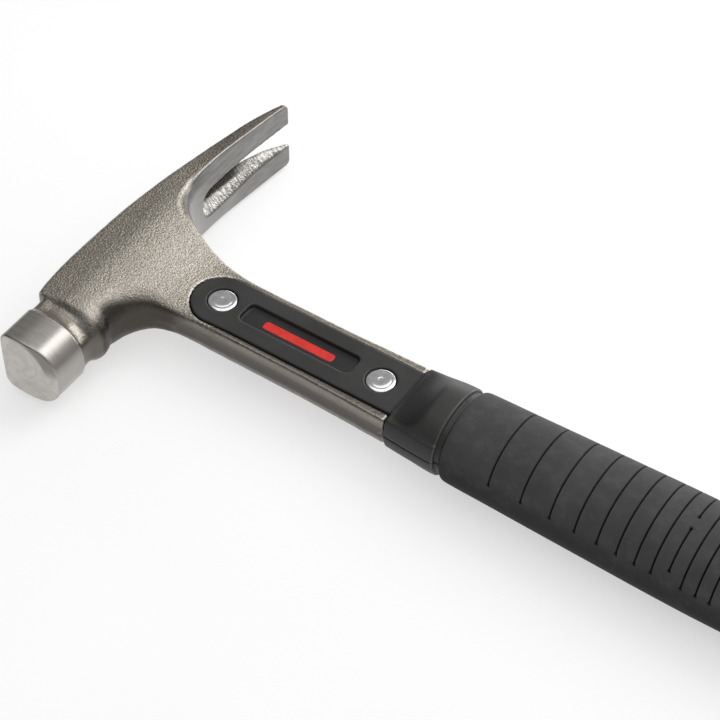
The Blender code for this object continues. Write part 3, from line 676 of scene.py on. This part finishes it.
# painted light: the web lighter than the flank
web_painted_light_zone = step_up(-45.0, -36.0, x) * step_up(44.0, 16.0, y) * (1 - 0.6 * step_up(-2.0, 6.0, x))
sleek_zone = np.maximum(step_up(-45.0, -44.2, y) * step_up(-37.6, -39.0, y), 0.7 * step_up(2.0, 14.0, x))
# painted shade at the bottom of the nail slot's V
depth_up = 1 - np.clip((claw_in(y) + swell(y, 6.0) - x) / np.maximum(claw_in(y) + swell(y, 6.0) - claw_top(y), 1.2), 0, 1)
slot_depth_painted_shade = step_up(0.65, 0.50, depth_up) * step_up(74.0, 58.0, y)
gap = slot_gap(x, y, z)
# painted shade: a dark line along the slot's lips
slot_lip_painted_shade = step_up(-1.0, -0.6, gap) * step_up(0.1, -0.15, gap) * step_up(-1.0, -0.4, claw_side) * (y > 36) * step_up(88.0, 80.0, y)
rim_gap = thick_of(x, y) - np.abs(z)
# painted shade: a dark line along the rails
rail_line_painted_shade = step_up(0.0, 0.3, rim_gap) * step_up(1.35, 0.8, rim_gap) * step_up(0.25, 0.55, np.abs(normal[:, 1])) * (0.42 * step_up(-6.0, 6.0, x) + 0.18 * step_up(20.0, 55.0, x))
# painted highlight on the claw's inner face near the root
root_painted_light = step_up(48.0, 27.0, y) * step_up(2.5, 6.0, rim_gap)
# painted highlight on the rounded roll at the claw root, with a painted shade band just inside it
from_ridge = claw_side + 3.3 - 2.1 * step_up(22.5, 33.0, y)
band_end = 2.6 + 2.2 * step_up(23.0, 30.0, y)
root_band_painted_shade = step_up(0.7, 1.5, from_ridge) * step_up(band_end + 1.0, band_end - 1.4, rim_gap) * step_up(46.0, 35.0, y) * step_up(19.0, 22.0, y) * step_up(0.0, 1.0, z)
root_roll_painted_highlight = np.exp(-(from_ridge / 0.65) ** 2) * step_up(18.5, 21.5, y) * step_up(38.0, 33.0, y) * step_up(3.0, 2.0, rim_gap)
# bright worn edges from curvature; painted highlights are added below
edge_wear_and_painted_highlight = np.clip(bend_of(head_field, points, 0.6) * 0.55 - 0.25, 0, 1)
# painted highlight along the fold from the flank into the claw's inner face
crease_painted_highlight = step_up(-2.8, -1.0, claw_side) * step_up(3.2, 0.6, rim_gap) * step_up(19.0, 25.0, y) * step_up(46.0, 36.0, y)
edge_wear_and_painted_highlight = np.maximum(edge_wear_and_painted_highlight * (1 - 0.85 * step_up(30.0, 40.0, y)), 0.24 * crease_painted_highlight * step_up(36.0, 29.0, y))
lane = np.where(x < 0, np.hypot(x, y), np.abs(y)) - CHANNEL_R - bulge(x)
# painted highlight on the channel's lip
lip_painted_highlight = step_up(1.0, 0.3, lane) * step_up(-0.5, -0.1, lane) * step_up(5.0, -4.0, x) * step_up(1.6, 0.8, rim_gap)
edge_wear_and_painted_highlight = np.maximum(edge_wear_and_painted_highlight, np.maximum(0.9 * lip_painted_highlight, 0.8 * root_roll_painted_highlight))
forged = (1 - poll_zone) * (1 - inner_zone) * (1 - slot_zone)
points = points + normal * (forged * (0.02 * lumps(points, 5.5, 3) + 0.014 * lumps(points, 2.4, 5) + 0.010 * lumps(points, 1.5, 7))
                            + slot_zone * 0.05 * lumps(points, 2.6, 9))[:, None]
head = piece("forged_head_skin", points, quads, STEEL, "forged_head")
for key, values in (("ground", poll_zone), ("satin", inner_zone), ("bright", slot_zone), ("side", flange_scale_and_painted_shade), ("edge", edge_wear_and_painted_highlight * forged),
                    ("face_finish_and_painted_stripe", np.maximum(poll_zone * step_up(-0.8, -0.95, normal[:, 1]) * (1 - bevel_painted_shade),
                                          0.45 * top_zone * step_up(-5.0, -1.0, across) * step_up(5.0, 2.5, across))),
                    ("sleek", sleek_zone), ("web_painted_light", web_painted_light_zone), ("root", root_painted_light), ("poll_painted_shade", np.maximum(top_zone * step_up(0.0, -5.5, across), bevel_painted_shade)), ("painted_shade", np.maximum(np.maximum(slot_zone * slot_depth_painted_shade, 0.7 * slot_lip_painted_shade), np.maximum(np.maximum(np.maximum(rail_low_painted_shade, rail_line_painted_shade), 0.72 * root_band_painted_shade), 0.35 * bevel_painted_shade)))):
    carry(head, key, values)

# ---------------------------------------------------------------- nylon halves
TONGUE_Z, TONGUE_R, POCKET_DEPTH = 6.5, 10.6, 2.0
COLLAR_X, COLLAR_END_X, RING_END_X, CORE_END_X = 76.5, 96.6, 98.7, 252.0
GRIP_Y, OVAL = -0.3, 2.15
collar_y = eased([(60, 15.3), (76.5, 15.3), (80.5, 15.6), (88, 16.1), (95.9, 16.4), (120, 16.4)])
collar_z = eased([(60, 13.8), (76.5, 13.8), (80.5, 14.0), (88, 14.2), (95.9, 14.4), (120, 14.4)])
core_y = eased([(60, 13.4), (244, 13.4), (252, 9.4), (260, 9.4)])
core_z = eased([(60, 11.4), (244, 11.4), (252, 7.4), (260, 7.4)])


def oval_field(y, z, half_y, half_z):
    u, v = np.abs(y) / half_y, np.abs(z) / half_z
    q = np.maximum((u ** OVAL + v ** OVAL) ** (1 / OVAL), 1e-4)
    steep = q ** (1 - OVAL) * np.hypot(u ** (OVAL - 1) / half_y, v ** (OVAL - 1) / half_z)
    return (q - 1) / np.maximum(steep, 0.02)


ramp_rise = eased([(60.0, 0.0), (75.5, 0.0), (77.5, 0.05), (79.5, 0.17), (82.0, 0.38), (85.0, 0.67), (87.5, 0.90), (89.3, 1.05), (91.0, 1.25), (100.0, 2.4), (110.0, 4.0)])


def ramp_height(x, y):
    """The ramp is drawn from the flat tongue up to the collar's oval."""
    inside = np.maximum(1 - np.minimum(np.abs(y - GRIP_Y) / collar_y(x), 1) ** OVAL, 0.02)
    return TONGUE_Z + 0.1 + np.maximum(collar_z(x) * inside ** (1 / OVAL) - TONGUE_Z, 0) * ramp_rise(x)


def half_field(x, y, z):
    lane = np.where(x < 0, np.hypot(x, y), np.abs(y)) - TONGUE_R - bulge(x)
    tongue = rounded(lane, np.maximum(z - TONGUE_Z, WEB_HALF_Z + 0.3 - z), 0.55)
    tongue = np.maximum(tongue, x - 84.0)
    oy = y - GRIP_Y
    collar = soft_max(oval_field(oy, z, collar_y(x), collar_z(x)), COLLAR_X - x, 1.0)
    collar = soft_max(collar, x - COLLAR_END_X, 0.8)
    collar = soft_max(collar, (z - ramp_height(x, y)) * 0.8, 0.7)
    ring = np.maximum(oval_field(oy, z, 15.2, 13.2), np.maximum(x - RING_END_X, 90.0 - x))
    core = np.maximum(oval_field(oy, z, core_y(x), core_z(x)), np.maximum(x - CORE_END_X, 90.0 - x))
    f = soft_min(np.minimum(np.minimum(collar, ring), core), tongue, 0.8)
    f = soft_max(f, 0.15 - z, 0.5)
    seat = np.maximum(np.maximum(np.abs(y) - 8.8, z - 2.1), np.maximum(71.5 - x, x - 150.3))
    f = np.maximum(f, -seat)
    qx, qy = np.abs(x - 32.1) - 20.7, np.abs(y - 0.2) - 2.25
    well = np.minimum(np.maximum(qx, qy), 0) + np.hypot(np.maximum(qx, 0), np.maximum(qy, 0)) - 2.2
    f = soft_max(f, -soft_max(well, TONGUE_Z - POCKET_DEPTH - z, 0.6), 0.5)
    for rx in RIVET_X:
        ring_r = np.hypot(x - rx, y)
        f = soft_max(f, -np.maximum(ring_r - 5.55, 5.45 - z), 0.35)
        f = np.maximum(f, 3.2 - ring_r + 0.0 * z)
    return f


half_axes = (axis((-12.0, 101.0, HANDLE_RES), (101.0, 254.0, 3.0)), axis((-17.6, 17.2, HANDLE_RES)), axis((-0.7, 15.6, HANDLE_RES)))
points, quads = skin(half_field, half_axes)
half_edge = np.clip(bend_of(half_field, points, 0.45) * 0.5 - 0.3, 0, 1)
half_normal = slope_of(half_field, points)
half_normal /= np.maximum(np.linalg.norm(half_normal, axis=1), 1e-6)[:, None]
# painted shade on the collar ramp and the pocket floor
ramp_pocket_painted_shade = step_up(-0.10, -0.26, half_normal[:, 0]) * step_up(75.0, 77.0, points[:, 0]) * step_up(91.0, 86.0, points[:, 0]) * step_up(0.2, 0.5, half_normal[:, 2])
ramp_pocket_painted_shade = np.maximum(ramp_pocket_painted_shade, 0.35 * step_up(5.3, 4.7, points[:, 2]) * step_up(0.5, 0.9, half_normal[:, 2]) * (np.abs(points[:, 0] - 32.1) < 23.5))
# painted highlight on the collar's rear rim
rim_painted_highlight = half_edge * step_up(95.3, 96.0, points[:, 0]) * (points[:, 0] < 96.9)
for name, sign in (("handle_half_top", 1.0), ("handle_half_bottom", -1.0)):
    half = piece(name + "_skin", points * (1.0, 1.0, sign), quads if sign > 0 else quads[:, ::-1].copy(), NYLON, name)
    carry(half, "edge", half_edge)
    carry(half, "rim", rim_painted_highlight)
    carry(half, "shade", ramp_pocket_painted_shade)


# ---------------------------------------------------------------- rivets
def turned(name, profile, centre, mat, replaces, sides=96):
    """Profile of (radius, height) rows turned about Z; the first and last rows lie on the axis."""
    rim = np.array(profile[1:-1], float)
    ang = np.linspace(0, math.tau, sides, endpoint=False)
    pts = np.stack([np.outer(rim[:, 0], np.cos(ang)), np.outer(rim[:, 0], np.sin(ang)), np.repeat(rim[:, 1:], sides, 1)], -1).reshape(-1, 3)
    n = len(pts)
    pts = np.vstack([pts, (0, 0, profile[0][1]), (0, 0, profile[-1][1])])
    faces = [list(f) for f in grid_faces(len(rim), sides)]
    last = (len(rim) - 1) * sides
    for i in range(sides):
        j = (i + 1) % sides
        faces.append([j, i, n])
        faces.append([last + i, last + j, n + 1])
    if profile[0][1] > profile[-1][1]:
        faces = [f[::-1] for f in faces]
    obj = piece(name, pts + np.array(centre), faces, mat, replaces)
    carry(obj, "turning", np.concatenate([np.repeat(rim[:, 0], sides), [0, 0]]))
    return obj


def softened(profile, steps=5, share=0.3, reach=0.25):
    """Rounds the corners of a profile."""
    p = [np.array(q, float) for q in profile]
    out = [p[0]]
    for a, b, c in zip(p, p[1:], p[2:]):
        u, v = a - b, c - b
        lu, lv = np.linalg.norm(u), np.linalg.norm(v)
        s, e = b + u / lu * min(reach, share * lu), b + v / lv * min(reach, share * lv)
        for t in np.linspace(0, 1, steps):
            out.append((1 - t) ** 2 * s + 2 * t * (1 - t) * b + t * t * e)
    out.append(p[-1])
    return [tuple(q) for q in out]


crown = [(0.0, 6.62), (0.5, 6.63), (0.85, 6.68), (1.1, 6.73), (1.5, 6.74), (2.1, 6.71), (2.7, 6.66), (3.1, 6.60), (3.4, 6.53), (3.65, 6.47), (3.9, 6.46),
         (4.2, 6.43), (4.55, 6.35), (4.85, 6.23), (5.05, 6.08), (5.2, 5.9), (5.25, 5.75)]
cap = softened(crown + [(1.7, 5.75), (1.7, -1.5), (1.2, -2.0), (0.0, -2.0)])
post = softened([(0.0, -3.0), (2.0, -3.0), (2.0, 4.6), (2.9, 4.6), (2.9, -5.75)] + [(r, -h) for r, h in reversed(crown)])
for tag, rx in zip(("front", "rear"), RIVET_X):
    turned(tag + "_rivet_cap_turned", cap, (rx, 0.0, 0.0), CHROME, tag + "_rivet_cap")
    turned(tag + "_rivet_post_turned", post, (rx, 0.0, 0.0), CHROME, tag + "_rivet_post")

# ---------------------------------------------------------------- rubber grip
SLEEVE = [(99.0, 15.7, 14.1), (99.12, 16.05, 14.45), (99.35, 16.3, 14.7), (99.7, 16.48, 14.88), (100.3, 16.63, 15.03), (101.2, 16.72, 15.12), (118.0, 17.15, 15.45),
          (130.0, 17.5, 15.7), (142.0, 17.8, 15.95), (154.0, 18.1, 16.15), (166.0, 18.45, 16.3), (178.0, 18.75, 16.4), (192.0, 18.95, 16.4),
          (206.0, 18.8, 16.3), (220.0, 18.4, 16.0), (233.0, 18.4, 15.9), (244.0, 19.0, 16.1), (254.5, 19.9, 16.4), (260.8, 20.2, 16.4),
          (263.2, 20.0, 16.25), (264.9, 19.4, 15.8), (266.0, 18.6, 15.1), (266.8, 17.6, 14.3), (267.25, 16.2, 13.0), (267.4, 14.5, 11.5)]
sleeve_y, sleeve_z = eased(SLEEVE, 1), eased(SLEEVE, 2)
SLIT_END, SLIT_UNDER = math.radians(165.0), math.radians(-141.0)
SLITS = [(sx, (SLIT_UNDER, SLIT_END)) for sx in (118.1, 130.3, 141.2, 150.4, 158.6, 165.7, 172.3, 178.2, 188.8, 193.9, 198.8, 204.1, 209.6, 215.4, 221.8, 229.0, 237.2)]
BROKEN_X = 183.6
for span in ((-141.0, -101.0), (-87.0, 87.0), (101.0, 152.0)):
    SLITS.append((BROKEN_X, tuple(math.radians(t) for t in span)))
near_slit = (-1.5, -1.0, -0.72, -0.54, -0.43, -0.36, -0.29, -0.2, 0.0, 0.2, 0.29, 0.36, 0.43, 0.54, 0.72, 1.0, 1.5)
slit_x = sorted({s[0] for s in SLITS})
rows_x = [sx + o for sx in slit_x for o in near_slit]
rows_x += [v for v in np.arange(102.5, 262.0, 1.7) if min(abs(v - sx) for sx in slit_x) > 2.1]
rows_x += [row[0] for row in SLEEVE if min(abs(row[0] - sx) for sx in slit_x) > 1.6]
rows_x = np.array(sorted(set(np.round(rows_x, 4))))
turn = np.radians(np.concatenate([np.arange(0, 81, 3.0), np.arange(81, 107, 1.0), np.arange(107, 135, 2.0), np.arange(135, 148, 0.7), np.arange(148, 159, 0.8),
                                  np.arange(159, 170, 0.7), np.arange(170, 180, 2.5)]))
turn = np.concatenate([turn, [math.pi], -turn[:0:-1]])


def signed_power(v, e):
    return np.sign(v) * np.abs(v) ** e


def oval_ring(x0, half_y, half_z):
    c, s = signed_power(np.cos(turn), 2 / OVAL), signed_power(np.sin(turn), 2 / OVAL)
    return np.stack([np.full(len(turn), x0), GRIP_Y + half_y * c, half_z * s], 1)


outer = np.array([oval_ring(v, sleeve_y(v), sleeve_z(v)) for v in rows_x])
du = np.gradient(outer, axis=0)
dv = np.roll(outer, -1, 1) - np.roll(outer, 1, 1)
out = np.cross(dv, du)
out /= np.maximum(np.linalg.norm(out, axis=2), 1e-9)[..., None]
if (out[len(rows_x) // 2, 0, 1]) < 0:
    out = -out
arc = np.linalg.norm(np.roll(outer, -1, 1) - outer, axis=2)
run = np.concatenate([np.zeros((len(rows_x), 1)), np.cumsum(arc, 1)[:, :-1]], 1)
signed_turn = np.where(turn > math.pi, turn - math.tau, turn)
order = np.argsort(signed_turn)
depth = np.zeros(outer.shape[:2])
for sx, (t0, t1) in SLITS:
    rows = np.abs(rows_x - sx) < 2.0
    dx = (rows_x[rows] - sx)[:, None]
    middle = np.argmin(np.abs(rows_x - sx))
    length = np.interp(signed_turn, signed_turn[order], np.cumsum(np.concatenate([[0], np.linalg.norm(np.diff(outer[middle][order], axis=0), axis=1)])))
    at0, at1 = (np.interp(t, signed_turn[order], length[order]) for t in (t0, t1))
    over = np.maximum(np.maximum(at0 - length, length - at1), 0)[None, :]
    lane = np.hypot(dx, over)
    cut = step_up(0.38, 0.2, lane)
    for end in (at0, at1):
        cut = np.maximum(cut, 1.05 * step_up(0.66, 0.42, np.hypot(dx, length[None, :] - end)))
    depth[rows] = np.maximum(depth[rows], cut)
outer = outer - out * (1.15 * depth)[..., None]
cavity = [(99.0, 13.7, 11.7), (244.0, 13.7, 11.7), (252.45, 9.7, 7.7)]
lip = [oval_ring(99.0, 14.8, 13.0)]
inner = [oval_ring(*row) for row in cavity]
butt = [oval_ring(267.4, 13.4, 10.4), oval_ring(267.25, 12.7, 9.7), oval_ring(267.1, 11.8, 8.9), oval_ring(267.05, 6.0, 4.5)]
rings = np.array(inner[::-1] + lip + list(outer) + butt)
columns = len(turn)
pts = rings.reshape(-1, 3)
faces = [list(f) for f in grid_faces(len(rings), columns)]
pts = np.vstack([pts, (252.45, GRIP_Y, 0.0), (267.05, GRIP_Y, 0.0)])
first, last = len(pts) - 2, len(pts) - 1
base = (len(rings) - 1) * columns
for i in range(columns):
    j = (i + 1) % columns
    faces.append([j, i, first])
    faces.append([base + i, base + j, last])
grip = piece("grip_sleeve_skin", pts, faces, RUBBER, "grip_sleeve")
# painted shade at the bottom of the slits
dark = np.zeros(len(pts))
start = (len(inner) + len(lip)) * columns
dark[start:start + depth.size] = step_up(0.35, 0.9, depth).ravel()
carry(grip, "slit_painted_shade", dark)
# painted light: the upward side of the sleeve is lighter; the dusty specks follow it
dust_and_top_light = np.full(len(pts), 0.4)
dust_and_top_light[start:start + depth.size] = step_up(-0.12, 0.5, out[..., 2]).ravel()
carry(grip, "dust_and_top_light", dust_and_top_light)

# ---------------------------------------------------------------- red bar in each pocket
BAR_X, BAR_HALF_Y, BAR_R = (17.6, 46.4), 1.75, 1.2
for name, sign in (("pocket_bar_top", 1.0), ("pocket_bar_bottom", -1.0)):
    rings = []
    for inset, height in ((0.0, 4.40), (0.0, 4.58), (0.05, 4.64), (0.14, 4.67), (0.9, 4.68)):
        ring = []
        r = max(BAR_R - inset, 0.25)
        for sx, sy, a0 in ((1, 1, 0), (-1, 1, 90), (-1, -1, 180), (1, -1, 270)):
            cx = (BAR_X[1] - BAR_R if sx > 0 else BAR_X[0] + BAR_R) + (0 if inset < BAR_R else 0)
            for k in range(9):
                ang = math.radians(a0 + 90.0 * k / 8)
                ring.append((cx + r * math.cos(ang), sy * (BAR_HALF_Y - BAR_R) + r * math.sin(ang), sign * height))
        rings.append(ring)
    pts = np.array(rings).reshape(-1, 3)
    columns = len(rings[0])
    faces = [list(f) for f in grid_faces(len(rings), columns)]
    faces.append(list(range(columns))[::-1])
    faces.append(list(range((len(rings) - 1) * columns, len(rings) * columns)))
    if sign < 0:
        faces = [f[::-1] for f in faces]
    piece(name, pts, faces, PRINT)

# ---------------------------------------------------------------- floor, light, camera
mesh = bpy.data.meshes.new("floor")
mesh.from_pydata([(-4, -4, 0), (4, -4, 0), (4, 4, 0), (-4, 4, 0)], [], [(0, 1, 2, 3)])
mesh.materials.append(floor_material())
floor = bpy.data.objects.new("floor", mesh)
floor.location.z = -0.0002
bpy.context.scene.collection.objects.link(floor)


def lamp(name, target, direction, distance, size, power, colour=(1.0, 1.0, 1.0)):
    """Soft box that looks at a point of the hammer, given in the part frame."""
    data = bpy.data.lights.new(name, "AREA")
    data.shape = "RECTANGLE"
    data.size, data.size_y = size
    data.energy = power
    data.color = colour
    obj = bpy.data.objects.new(name, data)
    way = Vector(direction).normalized()
    obj.location = Vector(target) + way * distance
    obj.rotation_euler = way.to_track_quat("Z", "Y").to_euler()
    bpy.context.scene.collection.objects.link(obj)
    return obj


CAMERA = dict(focal=2200.0, swing=0.5960775443852857, tilt=0.8369003706498441,
              side=-47.28739430353851, rise=16.449634008255583, distance=762.2263141580374)
swing, tilt = CAMERA["swing"], CAMERA["tilt"]
right = np.array([math.cos(swing), math.sin(swing), 0.0])
level = np.array([-math.sin(swing), math.cos(swing), 0.0])
ahead = level * math.cos(tilt) - np.array([0.0, 0.0, math.sin(tilt)])
above = level * math.sin(tilt) + np.array([0.0, 0.0, math.cos(tilt)])
spot = (-CAMERA["side"] * right - CAMERA["rise"] * above - CAMERA["distance"] * ahead - ORIGIN) * MM
data = bpy.data.cameras.new("camera")
data.sensor_width = 36.0
data.lens = CAMERA["focal"] * 36.0 / 720.0
data.clip_start = 0.01
camera = bpy.data.objects.new("camera", data)
place = Matrix.Identity(4)
for i in range(3):
    place[i][0], place[i][1], place[i][2], place[i][3] = right[i], above[i], -ahead[i], spot[i]
camera.matrix_world = place
bpy.context.scene.collection.objects.link(camera)
bpy.context.scene.camera = camera

aim = (-0.08, 0.0, 0.015)


def toward(sideways, back, up):
    """Direction in terms of the picture: to its right, away from the viewer, up from the floor."""
    return right * sideways + level * back + np.array([0.0, 0.0, up])


lamp("key_box", aim, toward(0.60, 0.28, 0.76), 0.9, (0.62, 0.62), 3.9)
lamp("top_box", aim, toward(0.0, -0.15, 1.0), 1.1, (1.4, 1.4), 6.9)
lamp("wall_box", aim, toward(0.72, 1.0, 0.18), 1.2, (1.7, 0.4), 8.0)

world = bpy.data.worlds.new("studio")
world.use_nodes = True
sky = world.node_tree
around = sky.nodes.new("ShaderNodeTexCoord")
toward_dark = sky.nodes.new("ShaderNodeVectorMath")
toward_dark.operation = "DOT_PRODUCT"
toward_dark.inputs[1].default_value = Vector(toward(-0.73, -0.40, 0.55)).normalized()
shade = sky.nodes.new("ShaderNodeMapRange")
shade.interpolation_type = "SMOOTHSTEP"
for key, value in (("From Min", 0.45), ("From Max", 0.95), ("To Min", 0.36), ("To Max", 0.10)):
    shade.inputs[key].default_value = value
sky.links.new(around.outputs["Generated"], toward_dark.inputs[0])
sky.links.new(toward_dark.outputs["Value"], shade.inputs["Value"])
sky.links.new(shade.outputs["Result"], sky.nodes["Background"].inputs["Strength"])
sky.nodes["Background"].inputs["Color"].default_value = (1.0, 1.0, 1.0, 1.0)
bpy.context.scene.world = world
bpy.context.scene.view_settings.view_transform = "Standard"
